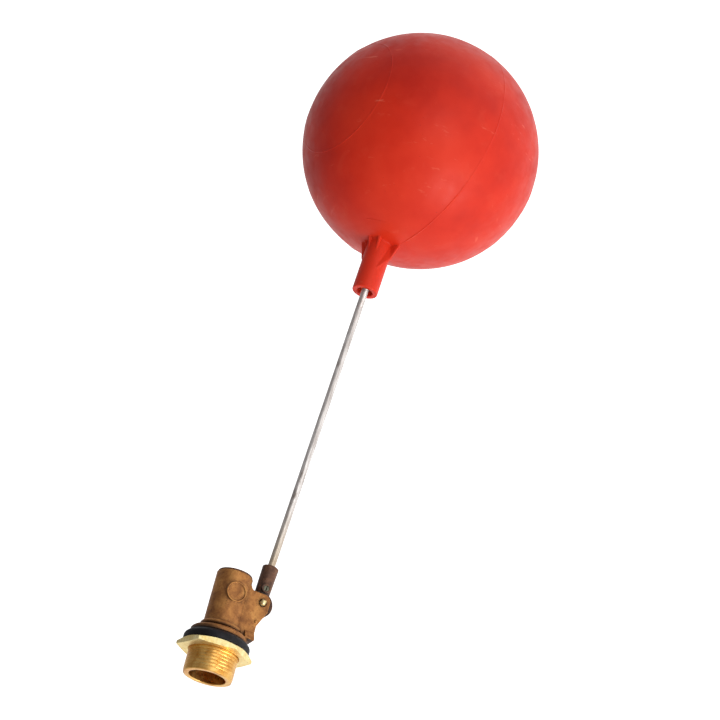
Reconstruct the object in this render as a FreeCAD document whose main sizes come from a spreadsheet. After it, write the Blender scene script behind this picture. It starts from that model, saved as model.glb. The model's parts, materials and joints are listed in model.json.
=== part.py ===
"""Brass piston float valve for a water tank: G1 inlet tail, swinging arm and a 170 mm red float.

Frame, in millimetres: +X runs along the inlet axis from the tank wall into the tank, +Z is up and
+Y completes the right-handed set. The valve is drawn with x = 0 on the flange face that seals
against the tank wall, the arm with x = 0 at the fulcrum pin, which is parallel to Y. All are then
placed so that the shared frame starts on the inlet axis at the first crest of the thread.
"""

import FreeCAD
import Part
import Sketcher
import math
import os

SIZES = {
    # inlet tail with its G1 pipe thread
    "thread_radius": 16.6245,
    "thread_low_radius": 16.45,
    "thread_pitch": 2.309,
    "thread_depth": 1.479,
    "thread_crest": 0.5,
    "thread_root": 0.4,
    "thread_first": -27.0,
    "thread_count": 11,
    "low_zone": -12.6,
    "tail_length": 27.8,
    "tail_chamfer": 0.8,
    "inlet_radius": 12.4,
    # body casting
    "flange_radius": 19.0,
    "flange_width": 3.6,
    "waist_radius": 12.7,
    "waist_end": 5.2,
    "bead_radius": 14.0,
    "bead_end": 8.8,
    "barrel_radius": 12.2,
    "barrel_end": 44.9,
    "barrel_break": 0.6,
    "bore_radius": 9.0,
    "wall_start": 1.5,
    "wall_end": 9.0,
    "ear_face": 8.2,
    "ear_gap": 4.2,
    "ear_top_x": 37.2,
    "ear_side_z": 25.8,
    "ear_heel_x": 26.0,
    "ear_knee_x": 14.5,
    "ear_foot_z": 20.6,
    "ear_round": 4.6,
    "ear_fillet": 2.6,
    "window_start": 12.5,
    "window_end": 40.6,
    "boss_radius": 6.9,
    "boss_rim": 1.0,
    "boss_rise": 0.7,
    "boss_x": 30.2,
    "gusset_end": 9.6,
    "gusset_spread": 3.4,
    "gusset_z": 13.6,
    # fulcrum split pin
    "pivot_x": 31.2,
    "pivot_drop": 20.7,
    "pin_radius": 2.45,
    "pin_hole_radius": 2.5,
    "pin_slit": 0.3,
    "eye_half": 2.8,
    "eye_length": 3.2,
    "eye_wire": 1.0,
    "leg_length": 7.5,
    "leg_spread": 18.0,
    "eye_turn": 9.0,
    # tank washer and backnut
    "washer_radius": 22.5,
    "washer_width": 7.0,
    "washer_gap": 0.1,
    "nut_flats": 44.0,
    "nut_width": 4.2,
    "nut_bevel": 0.5,
    "nut_inner_bevel": 1.9,
    "nut_turn": 14.0,
    "nut_hole_radius": 16.53,
    # inlet seat, its gasket and the cylinder cap
    "seat_radius": 6.0,
    "seat_head_flats": 15.0,
    "seat_collar_radius": 8.6,
    "seat_collar": 1.2,
    "seat_head_width": 3.6,
    "seat_end": 14.0,
    "seat_lip_radius": 5.2,
    "seat_lip_taper": 1.6,
    "orifice_radius": 4.0,
    "gasket_width": 0.8,
    "gasket_gap": 0.05,
    "cap_shank_radius": 10.4,
    "cap_shank": 2.2,
    "cap_radius": 11.6,
    "cap_rim": 1.0,
    "cap_slot": 2.0,
    "cap_slot_depth": 1.4,
    "cap_slot_margin": 2.6,
    # piston train, in its shut place
    "piston_radius": 8.95,
    "piston_start": 20.5,
    "piston_end": 31.2,
    "spigot_radius": 6.6,
    "spigot_start": 17.1,
    "retainer_start": 14.9,
    "retainer_bore": 6.65,
    "retainer_lip": 1.2,
    "retainer_eye": 5.9,
    "disc_rim_radius": 6.45,
    "disc_face_radius": 5.75,
    "disc_start": 14.05,
    "disc_step": 16.2,
    "disc_end": 17.0,
    "slot_half": 3.1,
    "slot_half_width": 2.6,
    "slot_top": 2.4,
    # arm, measured along it from the fulcrum
    "rest_angle": 3.5,
    "shut_finger_angle": 22.2,
    "slide_per_radian": 14.3,
    "hub_radius": 8.8,
    "hub_half": 4.0,
    "finger_reach": 15.2,
    "finger_tip": 2.5,
    "finger_shank": 1.5,
    "finger_half": 2.0,
    "bar_start": 7.0,
    "bar_end": 28.2,
    "bar_near_radius": 5.1,
    "bar_far_radius": 5.55,
    "bar_break": 0.5,
    "socket_end": 6.6,
    "screw_at": 11.3,
    "screw_boss_radius": 3.2,
    "screw_boss_rise": 5.9,
    "screw_radius": 1.98,
    "screw_hole_radius": 2.0,
    "screw_top": 5.7,
    "screw_slot": 0.7,
    "rod_radius": 2.5,
    "rod_socket_radius": 2.53,
    "rod_start": 6.9,
    "rod_end": 268.0,
    "rod_pitch": 0.8,
    "rod_thread_depth": 0.38,
    "rod_count": 24,
    # float
    "ball_at": 369.6,
    "ball_sag": 5.8,
    "ball_radius": 85.0,
    "ball_wall": 2.4,
    "seam_tilt": 104.8,
    "neck_radius": 9.1,
    "neck_start": 246.0,
    "neck_bore": 5.6,
    "neck_floor": 274.0,
    "core_hole_radius": 2.5,
    "neck_round": 0.8,
    "insert_radius": 5.55,
    "insert_start": 250.2,
    "insert_end": 269.6,
    "rib_width": 1.7,
    "rib_long": 20.0,
    "rib_reach": 19.5,
    "rib_short": 9.5,
    "rib_short_reach": 14.0,
    "seam_half": 0.35,
    "seam_rise": 0.3,
    "seam_root": 0.6,
    "ring_angle": 32.4,
    "ring_bead": 0.55,
}

doc = FreeCAD.newDocument("float_valve")
sheet = doc.addObject("Spreadsheet::Sheet", "sizes")
for row, (alias, value) in enumerate(SIZES.items(), start=1):
    sheet.set(f"A{row}", alias)
    sheet.set(f"B{row}", str(value))
    sheet.setAlias(f"B{row}", alias)
doc.recompute()


def bound(text):
    """The expression with every size written as a reference to its spreadsheet cell."""
    words = text.replace("(", "( ").replace(")", " )").split()
    return " ".join("sizes." + word if word in SIZES else word for word in words)


def number(text):
    value = sheet.evalExpression(bound(text))
    return float(getattr(value, "Value", value))


def tie(thing, **expressions):
    """Binds properties to expressions over the sizes. Two underscores in a name stand for a dot."""
    for name, text in expressions.items():
        thing.setExpression(name.replace("__", "."), bound(text))


# ---------------------------------------------------------------- sketched bodies
def new_body(label):
    body = doc.addObject("PartDesign::Body", label)
    body.Label = label
    return body


def origin_part(body, role):
    return next(feature for feature in body.Origin.OriginFeatures if feature.Role == role)


def sketch_on(body, name, role, offset=None, tilt=None):
    """An empty sketch on an origin plane of the body, a bound distance in front of it, or tilted about X."""
    sketch = body.newObject("Sketcher::SketchObject", name)
    sketch.AttachmentSupport = [(origin_part(body, role), "")]
    sketch.MapMode = "FlatFace"
    if tilt:
        turn = FreeCAD.Rotation(FreeCAD.Vector(1, 0, 0), number(tilt))
        sketch.AttachmentOffset = FreeCAD.Placement(FreeCAD.Vector(), turn)
        tie(sketch, AttachmentOffset__Rotation__Angle=tilt)
    if offset:
        tie(sketch, AttachmentOffset__Base__z=offset)
    return sketch


def hold(sketch, kind, edge, corner, text):
    """A dimension on one end of an edge, bound to the sizes."""
    arguments = (kind, edge, number(text)) if corner is None else (kind, edge, corner, number(text))
    index = sketch.addConstraint(Sketcher.Constraint(*arguments))
    sketch.setExpression(f"Constraints[{index}]", bound(text))


def arc_between(start, end, radius, side):
    """The short arc from start to end with its centre left (1) or right (-1) of the chord."""
    a, b = FreeCAD.Vector(*start, 0), FreeCAD.Vector(*end, 0)
    half = (b - a).Length / 2
    left = FreeCAD.Vector(a.y - b.y, b.x - a.x, 0).normalize()
    centre = (a + b) * 0.5 + left * (side * math.sqrt(radius * radius - half * half))
    angles = [math.atan2(point.y - centre.y, point.x - centre.x) for point in (a, b)]
    if side < 0:
        angles.reverse()
    if angles[1] < angles[0]:
        angles[1] += 2 * math.pi
    return Part.ArcOfCircle(Part.Circle(centre, FreeCAD.Vector(0, 0, 1), radius), *angles)


def outline(sketch, points):
    """A closed outline through bound points: (x, y), or (x, y, radius, side) to reach one by an arc."""
    where = [(number(point[0]), number(point[1])) for point in points]
    edges = []
    for i, start in enumerate(where):
        after = (i + 1) % len(points)
        target, end = points[after], where[after]
        if len(target) == 4:
            arc = arc_between(start, end, number(target[2]), target[3])
            ends = (1, 2) if target[3] > 0 else (2, 1)
            edges.append((sketch.addGeometry(arc, False), *ends))
            hold(sketch, "Radius", edges[-1][0], None, target[2])
        else:
            line = Part.LineSegment(FreeCAD.Vector(*start, 0), FreeCAD.Vector(*end, 0))
            edges.append((sketch.addGeometry(line, False), 1, 2))
    for i, (edge, first, _) in enumerate(edges):
        before, _, last = edges[i - 1]
        sketch.addConstraint(Sketcher.Constraint("Coincident", before, last, edge, first))
        hold(sketch, "DistanceX", edge, first, points[i][0])
        hold(sketch, "DistanceY", edge, first, points[i][1])
    return sketch


def ring(sketch, x, y, radius):
    centre = FreeCAD.Vector(number(x), number(y), 0)
    edge = sketch.addGeometry(Part.Circle(centre, FreeCAD.Vector(0, 0, 1), number(radius)), False)
    hold(sketch, "DistanceX", edge, 3, x)
    hold(sketch, "DistanceY", edge, 3, y)
    hold(sketch, "Radius", edge, None, radius)
    return sketch


def feature(body, kind, name, sketch, **settings):
    """A feature made from a sketch. Text settings are bound expressions."""
    made = body.newObject(f"PartDesign::{kind}", name)
    made.Profile = sketch
    for key, value in settings.items():
        if isinstance(value, str) and key not in ("Type", "SideType"):
            tie(made, **{key: value})
        else:
            setattr(made, key, value)
    sketch.Visibility = False
    doc.recompute()
    return made


def turned(body, name, points, cut=False):
    """A full turn about the X axis of an outline drawn in the XZ plane."""
    sketch = outline(sketch_on(body, name + "_outline", "XZ_Plane"), points)
    kind = "Groove" if cut else "Revolution"
    return feature(body, kind, name, sketch, ReferenceAxis=(sketch, ["H_Axis"]), Angle=360.0)


def turning_line(sketch, start, end):
    """A construction line between two bound points, for a feature to turn about."""
    points = [FreeCAD.Vector(number(x), number(y), 0) for x, y in (start, end)]
    edge = sketch.addGeometry(Part.LineSegment(*points), True)
    for corner, (x, y) in ((1, start), (2, end)):
        hold(sketch, "DistanceX", edge, corner, x)
        hold(sketch, "DistanceY", edge, corner, y)
    return (sketch, ["Axis0"])


def block(body, name, points, half, cut=False, plane="XZ_Plane"):
    """An outline on an origin plane spread equally to both sides of it."""
    sketch = outline(sketch_on(body, name + "_outline", plane), points)
    kind = "Pocket" if cut else "Pad"
    return feature(body, kind, name, sketch, SideType="Symmetric", Length=f"2 * {half}")


def drilled(body, name, x, y, radius, plane="XZ_Plane"):
    """A round hole right through, square to an origin plane."""
    sketch = ring(sketch_on(body, name + "_outline", plane), x, y, radius)
    return feature(body, "Pocket", name, sketch, Type="ThroughAll", SideType="Symmetric")


def repeated(body, name, source, pitch, count):
    """The source feature repeated along the X axis, which becomes the body's tip."""
    pattern = body.newObject("PartDesign::LinearPattern", name)
    pattern.Originals = [source]
    pattern.Direction = (origin_part(body, "X_Axis"), [""])
    tie(pattern, Length=f"{pitch} * ({count} - 1)", Occurrences=count)
    body.Tip = pattern
    doc.recompute()
    return pattern


def spread_round(body, name, source, count):
    """The source feature repeated in a full circle about the X axis, which becomes the body's tip."""
    pattern = body.newObject("PartDesign::PolarPattern", name)
    pattern.Originals = [source]
    pattern.Axis = (origin_part(body, "X_Axis"), [""])
    pattern.Angle = 360.0
    pattern.Occurrences = count
    body.Tip = pattern
    doc.recompute()
    return pattern


def hexagon(flats):
    """Corners of a hexagon about the origin, two of them on the first axis."""
    corner, half = f"{flats} / sqrt(3)", f"{flats} / 2"
    return [
        (f"{corner}", "0"),
        (f"{corner} / 2", f"{half}"),
        (f"0 - {corner} / 2", f"{half}"),
        (f"0 - {corner}", "0"),
        (f"0 - {corner} / 2", f"0 - {half}"),
        (f"{corner} / 2", f"0 - {half}"),
    ]


def valley(start, radius, depth, pitch, crest, root):
    """A V-shaped thread valley with a flat root, opening just past a crest that ends at start."""
    flank = f"({pitch} - {crest} - {root}) / 2"
    return [
        (f"{start}", f"{radius} + 0.2"),
        (f"{start}", f"{radius}"),
        (f"{start} + {flank}", f"{radius} - {depth}"),
        (f"{start} + {flank} + {root}", f"{radius} - {depth}"),
        (f"{start} + {pitch} - {crest}", f"{radius}"),
        (f"{start} + {pitch} - {crest}", f"{radius} + 0.2"),
    ]


# ---------------------------------------------------------------- places
def place(part, x="0", z="0", axis=(1, 0, 0), angle="0"):
    """Puts a piece in the shared frame, which starts at the thread's end and not at the tank wall's face."""
    part.Placement.Rotation = FreeCAD.Rotation(FreeCAD.Vector(*axis), number(angle))
    tie(part, Placement__Base__x=f"{x} - thread_first", Placement__Base__z=z)
    doc.recompute()
    return part


def on_fulcrum(part, angle):
    """Places a piece drawn with the fulcrum at its origin."""
    return place(part, "pivot_x", "0 - pivot_drop", (0, 1, 0), angle)


def on_piston(part):
    """Places a piece of the piston train, drawn where it shuts, at its rest place."""
    return place(part, "slide_per_radian * rest_angle * pi / 180")


# ---------------------------------------------------------------- valve body
def make_valve_body():
    body = new_body("valve_body")
    turned(body, "casting", [
        ("0 - tail_length", "0"),
        ("0 - tail_length", "thread_radius - tail_chamfer"),
        ("0 - tail_length + tail_chamfer", "thread_radius"),
        ("low_zone", "thread_radius"),
        ("low_zone", "thread_low_radius"),
        ("0", "thread_low_radius"),
        ("0", "flange_radius"),
        ("flange_width - 1", "flange_radius"),
        ("flange_width", "flange_radius - 1", "1", 1),
        ("flange_width", "waist_radius"),
        ("waist_end", "waist_radius"),
        ("bead_end - 1.8", "bead_radius", "1.8", -1),
        ("bead_end", "barrel_radius", "1.8", -1),
        ("barrel_end - barrel_break", "barrel_radius"),
        ("barrel_end", "barrel_radius - barrel_break"),
        ("barrel_end", "0"),
    ])
    block(body, "ears", [
        ("flange_width - 0.6", "0 - ear_foot_z"),
        ("ear_knee_x", "0 - ear_foot_z"),
        ("ear_heel_x", "0 - ear_side_z"),
        ("ear_top_x - ear_round", "0 - ear_side_z"),
        ("ear_top_x", "0 - ear_side_z + ear_round", "ear_round", 1),
        ("ear_top_x", "0 - barrel_radius - 1.2"),
        ("ear_top_x + ear_fillet", "0 - barrel_radius - 1.2 + ear_fillet", "ear_fillet", -1),
        ("ear_top_x + ear_fillet", "0 - 4"),
        ("flange_width - 0.6", "0 - 4"),
    ], "ear_face")
    boss = ring(sketch_on(body, "boss_outline", "XZ_Plane", "barrel_radius + boss_rise - 4"),
                "boss_x", "0", "boss_radius")
    feature(body, "Pad", "boss", boss, Length="4")
    recess = ring(sketch_on(body, "boss_recess_outline", "XZ_Plane", "barrel_radius + boss_rise"),
                  "boss_x", "0", "boss_radius - boss_rim")
    feature(body, "Pocket", "boss_recess", recess, Length="boss_rise - 0.05")
    for which, side in (("far", 1), ("near", -1)):
        gusset = sketch_on(body, f"gusset_outline_{which}", "XY_Plane", "0 - ear_foot_z")
        outline(gusset, [
            ("flange_width - 0.4", f"{side} * (ear_face - 1)"),
            ("flange_width - 0.4", f"{side} * (ear_face + gusset_spread)"),
            ("flange_width + 0.6", f"{side} * (ear_face + gusset_spread)"),
            ("gusset_end", f"{side} * ear_face"),
            ("gusset_end", f"{side} * (ear_face - 1)"),
        ])
        feature(body, "Pad", f"gusset_{which}", gusset, Length="ear_foot_z - gusset_z")
    turned(body, "inlet_bore", [
        ("0 - tail_length - 1", "0"),
        ("0 - tail_length - 1", "inlet_radius + 1.6"),
        ("0 - tail_length + 0.6", "inlet_radius"),
        ("wall_start", "inlet_radius"),
        ("wall_start", "seat_radius"),
        ("wall_end", "seat_radius"),
        ("wall_end", "bore_radius"),
        ("barrel_end - cap_shank", "bore_radius"),
        ("barrel_end - cap_shank", "cap_shank_radius"),
        ("barrel_end + 1", "cap_shank_radius"),
        ("barrel_end + 1", "0"),
    ], cut=True)
    block(body, "window", [
        ("window_start", "0 - ear_side_z - 1"),
        ("window_end", "0 - ear_side_z - 1"),
        ("window_end", "0 - 5"),
        ("window_start", "0 - 5"),
    ], "ear_gap", cut=True)
    drilled(body, "pin_hole", "pivot_x", "0 - pivot_drop", "pin_hole_radius")
    first = turned(body, "first_valley", valley(
        "thread_first + thread_crest", "thread_radius", "thread_depth", "thread_pitch", "thread_crest",
        "thread_root"), cut=True)
    repeated(body, "thread", first, "thread_pitch", "thread_count")
    return place(body)


# ---------------------------------------------------------------- fixed pieces
def make_tank_washer():
    body = new_body("tank_washer")
    turned(body, "rubber_ring", [
        ("0 - washer_width - washer_gap", "thread_radius + 0.4"),
        ("0 - washer_width - washer_gap", "washer_radius - 1"),
        ("0 - washer_width - washer_gap + 1", "washer_radius", "1", -1),
        ("0 - washer_gap - 3", "washer_radius"),
        ("0 - washer_gap", "washer_radius - 3", "3", -1),
        ("0 - washer_gap", "thread_radius + 0.4"),
    ])
    return place(body)


def make_backnut():
    """Thin hexagonal nut with its corners bevelled on both faces, drawn with its inner face at x = 0."""
    body = new_body("backnut")
    hexagonal = outline(sketch_on(body, "hexagon", "YZ_Plane", "0 - nut_width"), hexagon("nut_flats"))
    feature(body, "Pad", "plate", hexagonal, Length="nut_width")
    corner = "nut_flats / sqrt(3)"
    turned(body, "outer_bevel", [
        ("0 - nut_width", "nut_flats / 2"),
        ("0 - nut_width + nut_bevel", f"{corner} + 0.2"),
        ("0 - nut_width - 1", f"{corner} + 0.2"),
        ("0 - nut_width - 1", "nut_flats / 2"),
    ], cut=True)
    turned(body, "inner_bevel", [
        ("0", "nut_flats / 2"),
        ("0 - nut_inner_bevel", f"{corner} + 0.2"),
        ("1", f"{corner} + 0.2"),
        ("1", "nut_flats / 2"),
    ], cut=True)
    turned(body, "nut_hole", [
        ("0 - nut_width - 0.5", "0"),
        ("0 - nut_width - 0.5", "nut_hole_radius + 1.3"),
        ("0 - nut_width + 0.8", "nut_hole_radius"),
        ("0 - 0.8", "nut_hole_radius"),
        ("0.5", "nut_hole_radius + 1.3"),
        ("0.5", "0"),
    ], cut=True)
    return place(body, "0 - washer_width - 2 * washer_gap", angle="nut_turn")


def make_inlet_seat():
    """Screwed nozzle with a hexagonal head towards the inlet and a narrow sealing lip at the piston."""
    body = new_body("inlet_seat")
    collar = "wall_start - gasket_width - 2 * gasket_gap"
    turned(body, "nozzle", [
        (f"{collar} - seat_collar", "0"),
        (f"{collar} - seat_collar", "seat_collar_radius"),
        (collar, "seat_collar_radius"),
        (collar, "seat_radius"),
        ("seat_end - seat_lip_taper", "seat_radius"),
        ("seat_end", "seat_lip_radius"),
        ("seat_end", "0"),
    ])
    head = outline(
        sketch_on(body, "head_hexagon", "YZ_Plane", f"{collar} - seat_collar - seat_head_width"),
        hexagon("seat_head_flats"))
    feature(body, "Pad", "head", head, Length="seat_head_width + 0.1")
    turned(body, "orifice", [
        (f"{collar} - seat_collar - seat_head_width - 1", "0"),
        (f"{collar} - seat_collar - seat_head_width - 1", "orifice_radius + 2.4"),
        (f"{collar} - seat_collar - seat_head_width + 1", "orifice_radius"),
        ("seat_end - 0.8", "orifice_radius"),
        ("seat_end + 0.4", "orifice_radius + 0.6"),
        ("seat_end + 0.4", "0"),
    ], cut=True)
    return place(body)


def make_seat_gasket():
    body = new_body("seat_gasket")
    turned(body, "fibre_ring", [
        ("wall_start - gasket_width - gasket_gap", "seat_radius + 0.15"),
        ("wall_start - gasket_width - gasket_gap", "seat_collar_radius + 0.3"),
        ("wall_start - gasket_gap", "seat_collar_radius + 0.3"),
        ("wall_start - gasket_gap", "seat_radius + 0.15"),
    ])
    return place(body)


def make_cylinder_cap():
    """Plug screwed into the open end of the barrel, with a coin slot across its face."""
    body = new_body("cylinder_cap")
    turned(body, "plug", [
        ("barrel_end - cap_shank + 0.02", "0"),
        ("barrel_end - cap_shank + 0.02", "cap_shank_radius - 0.4"),
        ("barrel_end - cap_shank + 0.4", "cap_shank_radius - 0.03"),
        ("barrel_end + 0.03", "cap_shank_radius - 0.03"),
        ("barrel_end + 0.03", "cap_radius"),
        ("barrel_end + cap_rim - 0.3", "cap_radius"),
        ("barrel_end + cap_rim", "cap_radius - 0.3"),
        ("barrel_end + cap_rim", "0"),
    ])
    turned(body, "dish", [
        ("barrel_end + cap_rim + 0.5", "0"),
        ("barrel_end + cap_rim + 0.5", "cap_radius - 1.6"),
        ("barrel_end + cap_rim - 0.4", "cap_radius - 2.2"),
        ("barrel_end + cap_rim - 0.4", "0"),
    ], cut=True)
    reach = "(cap_radius - cap_slot_margin)"
    block(body, "coin_slot", [
        ("barrel_end + cap_rim - cap_slot_depth", f"0 - {reach}"),
        ("barrel_end + cap_rim + 1", f"0 - {reach}"),
        ("barrel_end + cap_rim + 1", reach),
        ("barrel_end + cap_rim - cap_slot_depth", reach),
    ], "cap_slot / 2", cut=True, plane="XY_Plane")
    return place(body)


def make_fulcrum_pin():
    """Split pin: two half-round legs through the ears, an eye at the front and the tails spread behind."""
    body = new_body("fulcrum_pin")
    half = "pin_slit / 2"
    bend = "ear_face + 0.4"
    out, along = "leg_length * sin(leg_spread)", "leg_length * cos(leg_spread)"
    front = "0 - ear_face - 0.3"
    crown = "0 - ear_face - 0.3 - eye_length"
    inside = "(eye_half - eye_wire)"
    block(body, "folded_wire", [
        ("pin_radius", front),
        ("pin_radius", bend),
        (f"pin_radius + {out}", f"{bend} + {along}"),
        (f"pin_radius + {out} - 1.9", f"{bend} + {along} + 0.6"),
        (half, f"{bend} + 0.7"),
        (half, f"{front} - 0.3"),
        (inside, f"{front} - eye_wire"),
        (inside, f"{crown} + eye_wire"),
        (f"0 - {inside}", f"{crown} + eye_wire"),
        (f"0 - {inside}", f"{front} - eye_wire"),
        (f"0 - {half}", f"{front} - 0.3"),
        (f"0 - {half}", f"{bend} + 0.7"),
        (f"0 - pin_radius - {out} + 1.9", f"{bend} + {along} + 0.6"),
        (f"0 - pin_radius - {out}", f"{bend} + {along}"),
        ("0 - pin_radius", bend),
        ("0 - pin_radius", front),
        ("0 - eye_half", f"{front} - 1"),
        ("0 - eye_half", f"{crown} + 1.2"),
        ("0 - eye_half + 1.2", crown, "1.2", 1),
        ("eye_half - 1.2", crown),
        ("eye_half", f"{crown} + 1.2", "1.2", 1),
        ("eye_half", f"{front} - 1"),
    ], "pin_radius", plane="XY_Plane")
    rounding = sketch_on(body, "rounding", "XZ_Plane")
    ring(rounding, "0", "0", "pin_radius")
    ring(rounding, "0", "0", "2 * pin_radius")
    feature(body, "Pocket", "round_legs", rounding, SideType="Symmetric", Length="2 * ear_face + 0.6")
    return on_fulcrum(body, "eye_turn")


# ---------------------------------------------------------------- swinging arm
def make_lever_arm():
    """Hub in the ears, finger up into the piston, and a round bar that takes the rod."""
    body = new_body("lever_arm")
    hub = ring(sketch_on(body, "hub_outline", "XZ_Plane"), "0", "0", "hub_radius")
    feature(body, "Pad", "hub", hub, SideType="Symmetric", Length="2 * hub_half")
    lean, rise = "sin(shut_finger_angle)", "cos(shut_finger_angle)"
    tip_x, tip_z = f"(0 - finger_reach * {lean})", f"finger_reach * {rise}"
    block(body, "finger_shank", [
        (f"0 - finger_shank * {rise}", f"0 - finger_shank * {lean}"),
        (f"finger_shank * {rise}", f"finger_shank * {lean}"),
        (f"{tip_x} + finger_shank * {rise}", f"{tip_z} + finger_shank * {lean}"),
        (f"{tip_x} - finger_shank * {rise}", f"{tip_z} - finger_shank * {lean}"),
    ], "finger_half")
    tip = ring(sketch_on(body, "finger_tip_outline", "XZ_Plane"), tip_x, tip_z, "finger_tip")
    feature(body, "Pad", "finger_tip_disc", tip, SideType="Symmetric", Length="2 * finger_half")
    turned(body, "bar", [
        ("bar_start", "0"),
        ("bar_start", "bar_near_radius"),
        ("bar_end - bar_break", "bar_far_radius"),
        ("bar_end", "bar_far_radius - bar_break"),
        ("bar_end", "0"),
    ])
    boss = ring(sketch_on(body, "screw_boss_outline", "XZ_Plane", "screw_boss_rise - 3"),
                "screw_at", "0", "screw_boss_radius")
    feature(body, "Pad", "screw_boss", boss, Length="3")
    screw = ring(sketch_on(body, "screw_hole_outline", "XZ_Plane", "screw_boss_rise"),
                 "screw_at", "0", "screw_hole_radius")
    feature(body, "Pocket", "screw_hole", screw, Length="screw_boss_rise")
    turned(body, "rod_socket", [
        ("socket_end", "0"),
        ("socket_end", "rod_socket_radius"),
        ("bar_end - 0.4", "rod_socket_radius"),
        ("bar_end + 0.4", "rod_socket_radius + 0.8"),
        ("bar_end + 0.4", "0"),
    ], cut=True)
    drilled(body, "pivot_hole", "0", "0", "pin_hole_radius")
    return on_fulcrum(body, "rest_angle")


def make_rod_set_screw():
    """Slotted grub screw that locks the rod in the lever."""
    body = new_body("rod_set_screw")
    shank = ring(sketch_on(body, "shank_outline", "XZ_Plane", "rod_radius + 0.02"),
                 "screw_at", "0", "screw_radius")
    feature(body, "Pad", "shank", shank, Length="screw_top - rod_radius - 0.02")
    slot = outline(sketch_on(body, "slot_outline", "XZ_Plane", "screw_top"), [
        ("screw_at - screw_radius - 1", "0 - screw_slot / 2"),
        ("screw_at + screw_radius + 1", "0 - screw_slot / 2"),
        ("screw_at + screw_radius + 1", "screw_slot / 2"),
        ("screw_at - screw_radius - 1", "screw_slot / 2"),
    ])
    feature(body, "Pocket", "driver_slot", slot, Length="1.1")
    return on_fulcrum(body, "rest_angle")


def make_float_rod():
    body = new_body("float_rod")
    turned(body, "wire", [
        ("rod_start", "0"),
        ("rod_start", "rod_radius - 0.5"),
        ("rod_start + 0.5", "rod_radius"),
        ("rod_end - 0.5", "rod_radius"),
        ("rod_end", "rod_radius - 0.5"),
        ("rod_end", "0"),
    ])
    start = "rod_end - 0.6 - rod_count * rod_pitch"
    first = turned(body, "first_valley", valley(
        start, "rod_radius", "rod_thread_depth", "rod_pitch", "0.12", "0.1"), cut=True)
    repeated(body, "rod_thread", first, "rod_pitch", "rod_count")
    return on_fulcrum(body, "rest_angle")


def ball_of(body, name, radius, cut=False):
    """A full sphere about the float's centre, which hangs below the line of the rod."""
    sketch = sketch_on(body, name + "_outline", "XZ_Plane")
    outline(sketch, [
        (f"ball_at - {radius}", "0 - ball_sag", radius, 1),
        (f"ball_at + {radius}", "0 - ball_sag"),
        ("ball_at", f"{radius} - ball_sag", radius, 1),
    ])
    line = turning_line(sketch, ("0", "0 - ball_sag"), ("10", "0 - ball_sag"))
    return feature(body, "Groove" if cut else "Revolution", name, sketch, ReferenceAxis=line, Angle=360.0)


def make_float_shell():
    """Hollow moulded float and its neck, with ribs at the root of the neck and the mould's seams."""
    body = new_body("float_shell")
    ball_of(body, "ball", "ball_radius")
    root = "ball_at - sqrt(ball_radius * ball_radius - neck_radius * neck_radius)"
    turned(body, "neck", [
        ("neck_start", "0"),
        ("neck_start", "neck_radius - neck_round"),
        ("neck_start + neck_round", "neck_radius", "neck_round", -1),
        (f"{root} + 3", "neck_radius"),
        (f"{root} + 3", "0"),
    ])
    for name, length, reach, count in (("short_rib", "rib_short", "rib_short_reach", 8),
                                       ("long_rib", "rib_long", "rib_reach", 2)):
        side = outline(sketch_on(body, name + "_outline", "XZ_Plane", tilt="seam_tilt"), [
            (f"{root} - {length}", "neck_radius - 0.4"),
            (f"{root} + 1", "neck_radius - 0.4"),
            (f"ball_at - sqrt(ball_radius * ball_radius - ({reach} + ball_sag) ^ 2) + 0.6", reach),
        ])
        rib = feature(body, "Pad", name, side, SideType="Symmetric", Length="rib_width")
        spread_round(body, name + "s", rib, count)
    seams = sketch_on(body, "seam_outline", "XY_Plane", tilt="seam_tilt")
    tie(seams, AttachmentOffset__Base__z="0 - ball_sag")
    outline(seams, [
        ("ball_at + ball_radius - seam_root", "0 - seam_half"),
        ("ball_at + ball_radius + seam_rise", "0 - seam_half"),
        ("ball_at + ball_radius + seam_rise", "seam_half"),
        ("ball_at + ball_radius - seam_root", "seam_half"),
    ])
    for side in ("ball_radius", "0 - ball_radius"):
        ring(seams, "ball_at + ball_radius * sin(ring_angle)", f"({side}) * cos(ring_angle)", "ring_bead")
    line = turning_line(seams, ("ball_at", "0 - 10"), ("ball_at", "10"))
    feature(body, "Revolution", "mould_seams", seams, ReferenceAxis=line, Angle=360.0)
    ball_of(body, "hollow", "(ball_radius - ball_wall)", cut=True)
    turned(body, "neck_bore_cut", [
        ("neck_start - 1", "0"),
        ("neck_start - 1", "neck_bore"),
        ("neck_floor", "neck_bore"),
        ("neck_floor", "core_hole_radius"),
        (f"{root} + 6", "core_hole_radius"),
        (f"{root} + 6", "0"),
    ], cut=True)
    return on_fulcrum(body, "rest_angle")


def make_neck_insert():
    """Threaded brass bush moulded into the neck, with two grooves that key it."""
    body = new_body("neck_insert")
    turned(body, "bush", [
        ("insert_start", "rod_radius + 0.03"),
        ("insert_start", "insert_radius"),
        ("insert_start + 6", "insert_radius"),
        ("insert_start + 6.6", "insert_radius - 0.8"),
        ("insert_start + 8.6", "insert_radius - 0.8"),
        ("insert_start + 9.2", "insert_radius"),
        ("insert_end - 1", "insert_radius"),
        ("insert_end", "insert_radius - 1"),
        ("insert_end", "rod_radius + 0.03"),
    ])
    return on_fulcrum(body, "rest_angle")


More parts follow.
